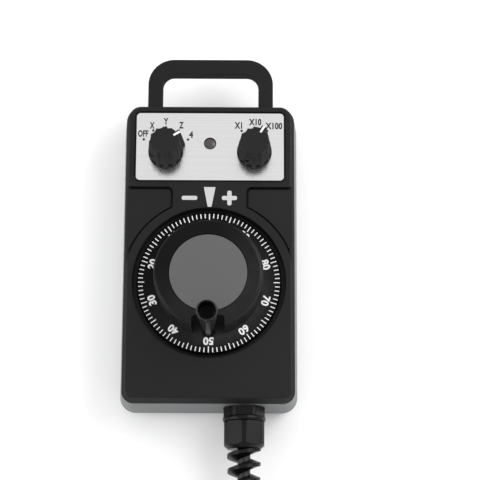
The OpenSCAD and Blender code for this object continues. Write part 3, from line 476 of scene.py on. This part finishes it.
def turned_marks_painted_sheen():
    """Turned marks, with a painted reflection as a tone, lighter to one fixed side and near the
    middle.
    """
    tree, start, end = group("turned_marks_painted_sheen", [("Inner", 28 * MM), ("Outer", 37 * MM)],
                             ["Height", "Tone"])
    vector = start.outputs["Vector"]
    flat, radius = flattened(tree, vector)
    near = ramp(tree, radius, start.outputs["Outer"], start.outputs["Inner"])
    way = vector_maths(tree, "NORMALIZE", flat)[0]
    # Painted reflection: the tone is lightest towards one fixed side of the wheel and fades out
    # from the middle
    side = ramp(tree, vector_maths(tree, "DOT_PRODUCT", way, PAINTED_SHEEN_SIDE)["Value"], -0.7, 0.8)
    cloud = noise(tree, vector, 160.0, Detail=3.0, Distortion=0.8)
    patchy = ramp(tree, cloud, 0.3, 0.7, 0.7)
    tone = maths(tree, "MULTIPLY", maths(tree, "MULTIPLY", near, side), patchy, clamp=True)
    wire(tree, end, [("Height", tool_rings(tree, radius, TURNED_PITCH)), ("Tone", tone)])
    return tree


def handling_marks():
    """Soft smears and a few small specks, as a mask."""
    tree, start, end = group("handling_marks", [("Amount", 0.5)], ["Mask"])
    vector = start.outputs["Vector"]
    smears = ramp(tree, noise(tree, vector, 90.0, Detail=4.0, Distortion=1.2), 0.45, 0.75)
    specks = ramp(tree, noise(tree, vector, 2400.0), 0.71, 0.78)
    both = maths(tree, "ADD", smears, specks, clamp=True)
    wire(tree, end, [("Mask", maths(tree, "MULTIPLY", both, start.outputs["Amount"]))])
    return tree


GROUPS = {}
MATERIALS = {}


def effect(tree, maker, links):
    """The shared group that maker builds, placed in a material."""
    if maker.__name__ not in GROUPS:
        GROUPS[maker.__name__] = maker()
    placed = tree.nodes.new("ShaderNodeGroup")
    placed.node_tree = GROUPS[maker.__name__]
    return wire(tree, placed, links)


def finish_named(name, colour, rough, metal=0.0, grain=moulded_grain, bump=0.001, spread=0.12,
                 coat=0.0, ior=1.45, matt_edge=0.0, worn=None, **more):
    """A material of one colour, its tone, roughness and relief varied by a shared effect.

    bump is in millimetres, spread is how far the tone varies, worn is a lighter colour for it that
    paints a reflection, matt_edge is added roughness at grazing angles, and the rest goes to the
    effect."""
    material = bpy.data.materials.new(name)
    material.use_nodes = True
    material.diffuse_color = (*colour, 1)
    tree = material.node_tree
    shader = tree.nodes["Principled BSDF"]
    shader.inputs["Metallic"].default_value = metal
    shader.inputs["Coat Weight"].default_value = coat
    shader.inputs["Coat Roughness"].default_value = 0.08
    shader.inputs["IOR"].default_value = ior
    vector = node(tree, "ShaderNodeTexCoord").outputs["Object"]
    grained = effect(tree, grain, [("Vector", vector)] + list(more.items()))
    mask = effect(tree, handling_marks, [("Vector", vector), ("Amount", HANDLED)]).outputs["Mask"]
    tone = grained.outputs["Tone"] if "Tone" in grained.outputs else mask
    dark = tuple(c * (1 - spread) for c in colour)
    # Where a lighter colour is given, the light end of the tone is a painted reflection
    light = worn or tuple(min(1, c * (1 + spread)) for c in colour)
    # A colour mix has its factor at socket 0 and its colours at sockets 6 and 7
    base = node(tree, "ShaderNodeMix", data_type="RGBA")
    wire(tree, base, [(0, tone), (6, (*dark, 1)), (7, (*light, 1))])
    tree.links.new(base.outputs[2], shader.inputs["Base Color"])
    roughness = ramp(tree, mask, 0.0, 1.0, rough, min(1.0, rough + 0.25))
    if matt_edge:
        facing = node(tree, "ShaderNodeLayerWeight", [("Blend", 0.5)]).outputs["Facing"]
        edge = ramp(tree, facing, 0.45, 0.8, 0.0, matt_edge)
        roughness = maths(tree, "ADD", roughness, edge, clamp=True)
    tree.links.new(roughness, shader.inputs["Roughness"])
    relief = node(tree, "ShaderNodeBump", [
        ("Height", grained.outputs["Height"]), ("Strength", 1.0), ("Distance", bump * MM)])
    tree.links.new(relief.outputs[0], shader.inputs["Normal"])
    return material


def grey(value):
    return (value, value, value)


def looks():
    """What finish_named is told for every material of the pendant, by its name."""
    c = bpy.context.scene.pendant_colours
    return {
        # mouldings
        "cover_black": dict(colour=c.cover, rough=0.4, bump=0.01, ior=1.33, matt_edge=0.6),
        "shell_grey": dict(colour=c.shell, rough=0.5, bump=0.012),
        "seal_black": dict(colour=grey(0.01), rough=0.7, bump=0.004),
        "loop_black": dict(colour=(0.004, 0.004, 0.0042), rough=0.34, bump=0.006, ior=1.32,
                           matt_edge=0.5),
        "switch_black": dict(colour=(0.008, 0.008, 0.009), rough=0.45, bump=0.004),
        "knob_black": dict(colour=(0.012, 0.012, 0.0125), rough=0.3, bump=0.003, ior=1.26,
                           matt_edge=0.5),
        "grip_black": dict(colour=(0.002, 0.002, 0.0021), rough=0.3, bump=0.0004, ior=1.34),
        "led_lens": dict(colour=(0.065, 0.055, 0.055), rough=0.25, coat=0.2),
        "circuit_board": dict(colour=(0.012, 0.09, 0.035), rough=0.3, coat=0.3, bump=0.003),
        "terminal_green": dict(colour=(0.02, 0.22, 0.08), rough=0.4, bump=0.003),
        # metals
        "zinc_steel": dict(colour=(0.55, 0.55, 0.53), rough=0.32, metal=1.0, bump=0.002),
        "black_steel": dict(colour=grey(0.005), rough=0.2, metal=1.0, bump=0.006),
        "satin_steel": dict(colour=grey(0.01), rough=0.45, metal=1.0),
        "nickel": dict(colour=(0.5, 0.49, 0.47), rough=0.38, metal=1.0),
        "gold_contact": dict(colour=(0.83, 0.62, 0.28), rough=0.22, metal=1.0),
        "brushed_plate": dict(colour=c.plate, rough=0.16, metal=1.0, grain=brushed_lines,
                              bump=0.014, spread=0.06),
        "cast_flange": dict(colour=(0.45, 0.46, 0.47), rough=0.38, metal=1.0, grain=turned_lines,
                            bump=0.002),
        "bearing_steel": dict(colour=(0.58, 0.58, 0.6), rough=0.22, metal=1.0, grain=turned_lines),
        "brass_wheel": dict(colour=(0.62, 0.44, 0.18), rough=0.3, metal=1.0, grain=turned_lines),
        # prints, and the painted shade round the plate
        "white_mark": dict(colour=(0.85, 0.85, 0.84), rough=0.5, spread=0.04),
        "light_mark": dict(colour=c.marks, rough=0.5, spread=0.05),
        # painted shade of the gap round the faceplate, laid as a thin dark frame
        "painted_gap_shade": dict(colour=grey(0.003), rough=0.5, ior=1.2),
        "dark_ink": dict(colour=c.lettering, rough=0.5),
        # wheel
        # The dial's and hub's lighter colours are a painted reflection, lightest towards one side
        # of the wheel
        "dial_black": dict(colour=c.wheel, rough=0.26, grain=turned_marks_painted_sheen, ior=1.18, spread=0.0,
                           worn=grey(0.036)),
        "hub_black": dict(colour=c.wheel, rough=0.26, grain=turned_marks_painted_sheen, bump=0.0005, ior=1.22,
                          matt_edge=0.9, spread=0.0, worn=grey(0.016), Inner=20 * MM,
                          Outer=60 * MM),
        "disc_grey": dict(colour=c.hub_disc, rough=0.45, grain=turned_lines, bump=0.0015,
                          spread=0.05),
        "code_glass": dict(colour=(0.35, 0.37, 0.36), rough=0.15, coat=0.5, grain=turned_lines,
                           bump=0.0005),
        # cable
        "gland_black": dict(colour=(0.003, 0.003, 0.0033), rough=0.26, bump=0.004, ior=1.26),
        "cable_black": dict(colour=c.cable, rough=0.42, bump=0.006),
        "tie_black": dict(colour=(0.015, 0.015, 0.016), rough=0.85, bump=0.05),
        "plug_black": dict(colour=(0.006, 0.006, 0.0065), rough=0.38, bump=0.005),
    }


def finish(name):
    """A material by its name. All of them are made at the first call."""
    if not MATERIALS:
        for title, look in looks().items():
            MATERIALS[title] = finish_named(title, **look)
    return MATERIALS[name]


# ---- one operator for each piece or group of pieces ----

def softbox(name, place, size, power):
    """A large area light aimed at the origin."""
    tidy()
    bpy.ops.object.light_add(type="AREA", location=place)
    light = bpy.context.object
    light.name = name
    light.data.shape = "RECTANGLE"
    light.data.size, light.data.size_y = size
    light.data.energy = power
    light.rotation_euler = (-Vector(place)).to_track_quat("-Z", "Y").to_euler()


class PENDANT_OT_stage(bpy.types.Operator):
    """Sets up the camera, the floor and the studio light"""
    bl_idname = "pendant.stage"
    bl_label = "Stage"

    def execute(self, context):
        sizes = context.scene.pendant_stage
        tidy()
        turn = Matrix.Identity(4)
        for axis, angle in CAMERA_TURNS:
            turn = turn @ Matrix.Rotation(angle, 4, axis)
        place = Vector(CAMERA_PLACE) * MM + Vector((0, 0, FACE_Z))
        bpy.ops.object.camera_add(location=place, rotation=turn.to_euler("XYZ"))
        camera = context.object
        camera.name = "studio_camera"
        camera.data.lens = sizes.lens
        camera.data.sensor_width = SENSOR_WIDTH
        camera.data.clip_end = CLIP_END
        context.scene.camera = camera
        context.scene.view_settings.view_transform = "Standard"

        tidy()
        bpy.ops.mesh.primitive_plane_add(size=FLOOR_SIZE, location=(0, 0, 0))
        floor = named("studio_floor")
        pale = bpy.data.materials.new("studio_paper")
        pale.use_nodes = True
        shader = pale.node_tree.nodes["Principled BSDF"]
        shader.inputs["Base Color"].default_value = (0.96, 0.96, 0.96, 1)
        shader.inputs["Roughness"].default_value = 0.9
        shader.inputs["Specular IOR Level"].default_value = 0.1
        floor.data.materials.append(pale)

        softbox("key_softbox", (0.75, 0.35, 0.75), (0.7, 0.9), sizes.key_power)
        softbox("fill_softbox", (-0.9, -0.2, 0.6), (0.6, 0.8), sizes.fill_power)
        world = context.scene.world or bpy.data.worlds.new("studio")
        context.scene.world = world
        world.use_nodes = True
        background = world.node_tree.nodes["Background"]
        background.inputs["Color"].default_value = (1, 1, 1, 1)
        background.inputs["Strength"].default_value = sizes.sky
        return {"FINISHED"}


def cable_route():
    """Points of the cable from the gland through its coil to the plug, in millimetres."""
    points = [Vector(p) for p in LEAD_OUT]
    for k in range(int(COIL_TURNS * POINTS_PER_TURN) + 1):
        turn, part = divmod(k / POINTS_PER_TURN, 1)
        r, z = TURNS[int(turn)]
        if part > CROSSING and turn + 1 < len(TURNS):
            r2, z2 = TURNS[int(turn) + 1]
            t = (part - CROSSING) / (1 - CROSSING)
            ease = t * t * (3 - 2 * t)
            r, z = r + (r2 - r) * ease, z + (z2 - z) * ease
        angle = -2 * math.pi * k / POINTS_PER_TURN
        points.append(Vector((COIL.x + r * math.cos(angle), COIL.y + r * math.sin(angle), z)))
    return points + [Vector(p) for p in LEAD_IN]


class PENDANT_OT_cable(bpy.types.Operator):
    """Lays the cable, its coil, the tie and the plug"""
    bl_idname = "pendant.cable"
    bl_label = "Cable and plug"

    def execute(self, context):
        tidy()
        edge = context.scene.pendant_edges.fitting
        route = cable_route()
        bpy.ops.curve.primitive_bezier_curve_add()
        cable = context.object
        cable.name = "cable_run"
        curve = cable.data
        curve.name = "cable_run"
        curve.splines.clear()
        spline = curve.splines.new("BEZIER")
        spline.bezier_points.add(len(route) - 1)
        for point, place in zip(spline.bezier_points, route):
            point.co = place * MM
            point.handle_left_type = point.handle_right_type = "AUTO"
        curve.dimensions = "3D"
        curve.bevel_depth = CABLE_R * MM
        curve.bevel_resolution = 5
        curve.resolution_u = 4
        curve.use_fill_caps = True
        dress(cable, "casing", "cable_black", "cable", "cable_coil")

        on_cord = [
            from_solid("plug_barrel", "plug_shell", "casing", "plug_black", edge, 2),
            from_solid("plug_coupling_ring", "plug_ring", "coupling_ring", "nickel", edge, 2),
            from_solid("cable_tie_strap", "coil_tie", "casing", "tie_black", edge, 2),
            NODES["plug_insert"], NODES["plug_pins"]]
        return {"FINISHED"}


class PENDANT_OT_casing(bpy.types.Operator):
    """Finishes the front cover, the rear shell and the carrying loop"""
    bl_idname = "pendant.casing"
    bl_label = "Casing"

    def execute(self, context):
        edges = context.scene.pendant_edges
        from_solid("cover_moulding", "front_cover", "casing", "cover_black", edges.casing)
        from_solid("shell_moulding", "rear_shell", "casing", "shell_grey", edges.casing)
        from_solid("loop_moulding", "carrying_loop", "casing", "loop_black", edges.loop)
        return {"FINISHED"}


def gap_shade_loop(low, high, margin, corner):
    """The outline of a rectangle with round corners, set in from a plate's box by a margin."""
    tidy()
    bpy.ops.mesh.primitive_plane_add(
        size=1, location=((low[0] + high[0]) / 2, (low[1] + high[1]) / 2, PLATE_Z))
    bpy.ops.transform.resize(
        value=(high[0] - low[0] - 2 * margin, high[1] - low[1] - 2 * margin, 1))
    loop = named("gap_shade_loop")
    edit_all()
    bpy.ops.mesh.bevel(offset=corner, segments=8, affect="VERTICES")
    bpy.ops.mesh.delete(type="ONLY_FACE")
    leave_edit()
    return loop


def stroke(x, y, length, width, arms):
    """A flat bar or cross with round ends, grown out of one square. Sizes in millimetres."""
    half = width / 2
    piece = block("stroke", ((x - half) * MM, (y - half) * MM, FACE_Z),
                  ((x + half) * MM, (y + half) * MM, FACE_Z + PRINT_T))
    reach = (length - width) / 2 * MM
    for dx, dy in arms:
        pick(piece, "FACE", lambda co, normal: normal.x * dx + normal.y * dy > 0.9
             and abs((co.x - x * MM) * dy) + abs((co.y - y * MM) * dx) < 0.1 * MM)
        extrude((dx * reach, dy * reach, 0))
        leave_edit()
    pick(piece, "EDGE", lambda co, along: abs(along.z) > 0.02 * MM and max(
        abs(co.x - x * MM), abs(co.y - y * MM)) > reach)
    bpy.ops.mesh.bevel(offset=width * STROKE_ROUND * MM, segments=8, profile=0.5)
    leave_edit()
    return piece


class PENDANT_OT_panel_marks(bpy.types.Operator):
    """Prints the lettering, the dots and the minus, wedge and plus marks, and lays a painted shade
    round the plate's edge
    """
    bl_idname = "pendant.panel_marks"
    bl_label = "Panel marks"

    def execute(self, context):
        sizes = context.scene.pendant_prints
        z = PLATE_Z + PRINT_T / 2
        labels = [printed("label", words, sizes.label_height, width * MM, (x * MM, y * MM, z))
                  for words, width, x, y in LABELS]
        for x, angles in KNOB_STOPS:
            for a in angles:
                tidy()
                bpy.ops.mesh.primitive_cylinder_add(
                    vertices=24, radius=sizes.dot_radius, depth=PRINT_T,
                    location=(x * MM + sizes.dot_ring * math.cos(math.radians(a)),
                              KNOB_Y * MM + sizes.dot_ring * math.sin(math.radians(a)), z))
                labels.append(named("dot"))
        dress(joined("panel_lettering", labels), "casing", "white_mark", look="dark_ink")

        # A thin dark frame on the plate's edge: painted shade of the gap between the plate and the
        # cover
        low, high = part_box("faceplate")
        border = joined("plate_gap_shade", [
            gap_shade_loop(low, high, margin, sizes.gap_shade_corner - margin)
            for margin in (0, sizes.border_width)])
        edit_all("EDGE")
        bpy.ops.mesh.bridge_edge_loops()
        bpy.ops.mesh.select_all(action="SELECT")
        extrude((0, 0, PRINT_T))
        leave_edit()
        close_up(border)
        dress(border, "casing", "seal_black", look="painted_gap_shade")

        sideways, upright = [(1, 0), (-1, 0)], [(0, 1), (0, -1)]
        minus, plus = stroke(*MINUS, sideways), stroke(*PLUS, sideways + upright)
        tip, wide = WEDGE_Y
        wedge = block("wedge", (-WEDGE_WIDE / 2 * MM, tip * MM, FACE_Z),
                      (WEDGE_WIDE / 2 * MM, wide * MM, FACE_Z + PRINT_T))
        pick(wedge, "VERT", lambda co, normal: co.y < (tip + wide) / 2 * MM)
        bpy.ops.transform.resize(value=(WEDGE_TIP / WEDGE_WIDE, 1, 1),
                                 center_override=(0, tip * MM, FACE_Z))
        leave_edit()
        marks = joined("direction_marks", [minus, plus, wedge])
        dress(marks, "casing", "white_mark", look="light_mark")
        return {"FINISHED"}


class PENDANT_OT_knobs(bpy.types.Operator):
    """Rounds the two fluted knobs"""
    bl_idname = "pendant.knobs"
    bl_label = "Knobs"

    def execute(self, context):
        width = context.scene.pendant_edges.knob
        for title, solid, body in (("axis_grip", "axis_knob", "axis_selector"),
                                   ("multiplier_grip", "multiplier_knob", "multiplier_selector")):
            from_solid(title, solid, body, "knob_black", width, angle=25, smooth=30)
        return {"FINISHED"}


class PENDANT_OT_dial(bpy.types.Operator):
    """Rounds the dial and prints its graduations and numbers"""
    bl_idname = "pendant.dial"
    bl_label = "Dial"

    def execute(self, context):
        sizes = context.scene.pendant_prints
        from_solid("dial_disc", "dial", "wheel", "dial_black", context.scene.pendant_edges.metal)

        marks = []
        copies = GRADUATIONS // TICKS_PER_LONG
        for step in range(TICKS_PER_LONG):
            length = sizes.tick_length + (0 if step else sizes.tick_extra)
            tick = block("graduation", (-sizes.tick_width / 2, sizes.tick_radius - length, DIAL_Z),
                         (sizes.tick_width / 2, sizes.tick_radius, DIAL_Z + PRINT_T))
            edit_all()
            bpy.ops.transform.rotate(value=math.radians(360 / GRADUATIONS * step), orient_axis="Z",
                                     center_override=(0, 0, DIAL_Z))
            bpy.ops.mesh.spin(steps=copies - 1, dupli=True,
                              angle=math.radians(360 * (copies - 1) / copies),
                              center=(0, 0, DIAL_Z), axis=(0, 0, 1))
            leave_edit()
            marks.append(tick)
        for k in range(NUMBERS):
            angle = math.radians(90 + 360 / NUMBERS * k)
            place = (sizes.number_radius * math.cos(angle), sizes.number_radius * math.sin(angle),
                     DIAL_Z + PRINT_T / 2)
            digits = str(GRADUATIONS // NUMBERS * k)
            marks.append(printed("number", digits, sizes.number_height,
                                 DIGIT_WIDTHS[len(digits) - 1] * MM, place, angle - math.pi / 2))
        dress(joined("dial_graduations", marks), "wheel", "white_mark")
        return {"FINISHED"}


class PENDANT_OT_hub(bpy.types.Operator):
    """Rounds the hub and turns its disc"""
    bl_idname = "pendant.hub"
    bl_label = "Hub"

    def execute(self, context):
        edges = context.scene.pendant_edges
        from_solid("hub_body", "hub", "wheel", "hub_black", edges.metal)
        low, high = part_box("hub_disc")
        r = high[0] - DISC_GAP
        disc = turned("hub_plate", (0, 0), [(r, low[2]), (r, high[2])], segments=128)
        round_edges(disc, edges.disc)
        close_up(disc)
        dress(disc, "wheel", "disc_grey", "hub_disc")
        return {"FINISHED"}


class PENDANT_OT_crank(bpy.types.Operator):
    """Rounds the crank grip and turns its post"""
    bl_idname = "pendant.crank"
    bl_label = "Crank grip"

    def execute(self, context):
        from_solid("grip_body", "crank_grip", "crank", "grip_black",
                   context.scene.pendant_edges.metal)
        low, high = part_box("crank_post")
        middle = ((low[0] + high[0]) / 2, (low[1] + high[1]) / 2)
        flange, pin = high[0], 2.0 * MM                 # radii of the post, with a slimmer waist
        waist = flange - 0.6 * MM
        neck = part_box("crank_grip")[0][2] - 0.2 * MM    # the shoulder just under the grip
        foot_top, foot_cone = DIAL_Z + 1.2 * MM, 0.8 * MM
        collar, collar_cone = neck - 0.9 * MM, 0.7 * MM
        post = turned("crank_pillar", middle, [
            (pin, low[2]), (pin, DIAL_Z), (flange, DIAL_Z), (flange, foot_top),
            (waist, foot_top + foot_cone), (waist, collar - collar_cone), (flange, collar),
            (flange, neck), (pin, neck), (pin, high[2])], segments=64)
        close_up(post)
        dress(post, "wheel", "black_steel", "crank_post", look="satin_steel")
        return {"FINISHED"}


class PENDANT_OT_gland(bpy.types.Operator):
    """Rounds the cable gland, its nut and its spiral tail"""
    bl_idname = "pendant.gland"
    bl_label = "Cable gland"

    def execute(self, context):
        edges = context.scene.pendant_edges
        for title, solid, width in (("gland_hexagon", "gland_body", edges.knob),
                                    ("gland_dome", "dome_nut", edges.knob),
                                    ("gland_spiral", "spiral_tail", edges.fitting)):
            from_solid(title, solid, "casing", "gland_black", width, 2)
        return {"FINISHED"}


class PENDANT_OT_inner_parts(bpy.types.Operator):
    """Gives every solid that stays as it is the material of its slot"""
    bl_idname = "pendant.inner_parts"
    bl_label = "Inner parts"

    def execute(self, context):
        slots = {s["node"]: s["material_slot"] for s in frame["record"]["subparts"]}
        for name, solid in NODES.items():
            solid.data.materials.clear()
            solid.data.materials.append(finish(slots[name]))
        return {"FINISHED"}


VALUES = (("pendant_prints", PendantPrintSizes), ("pendant_edges", PendantEdgeSizes),
          ("pendant_colours", PendantColours), ("pendant_stage", PendantStageSizes))
STEPS = (PENDANT_OT_stage, PENDANT_OT_cable, PENDANT_OT_casing, PENDANT_OT_panel_marks,
         PENDANT_OT_knobs, PENDANT_OT_dial, PENDANT_OT_hub, PENDANT_OT_crank, PENDANT_OT_gland,
         PENDANT_OT_inner_parts)


class PENDANT_PT_panel(bpy.types.Panel):
    """Lists the pendant's steps and sizes in the sidebar"""
    bl_label = "Pendant"
    bl_idname = "PENDANT_PT_panel"
    bl_space_type = "VIEW_3D"
    bl_region_type = "UI"
    bl_category = "Pendant"

    def draw(self, context):
        for step in STEPS:
            self.layout.operator(step.bl_idname)
        for title, kind in VALUES:
            box = self.layout.box()
            for key in kind.__annotations__:
                box.prop(getattr(context.scene, title), key)


def register():
    for title, kind in VALUES:
        bpy.utils.register_class(kind)
        setattr(bpy.types.Scene, title, bpy.props.PointerProperty(type=kind))
    for step in STEPS:
        bpy.utils.register_class(step)
    bpy.utils.register_class(PENDANT_PT_panel)


def unregister():
    bpy.utils.unregister_class(PENDANT_PT_panel)
    for step in reversed(STEPS):
        bpy.utils.unregister_class(step)
    for title, kind in reversed(VALUES):
        delattr(bpy.types.Scene, title)
        bpy.utils.unregister_class(kind)


def main():
    register()
    for step in STEPS:
        area, name = step.bl_idname.split(".")
        getattr(getattr(bpy.ops, area), name)()
    tidy()


if __name__ == "__main__":
    main()
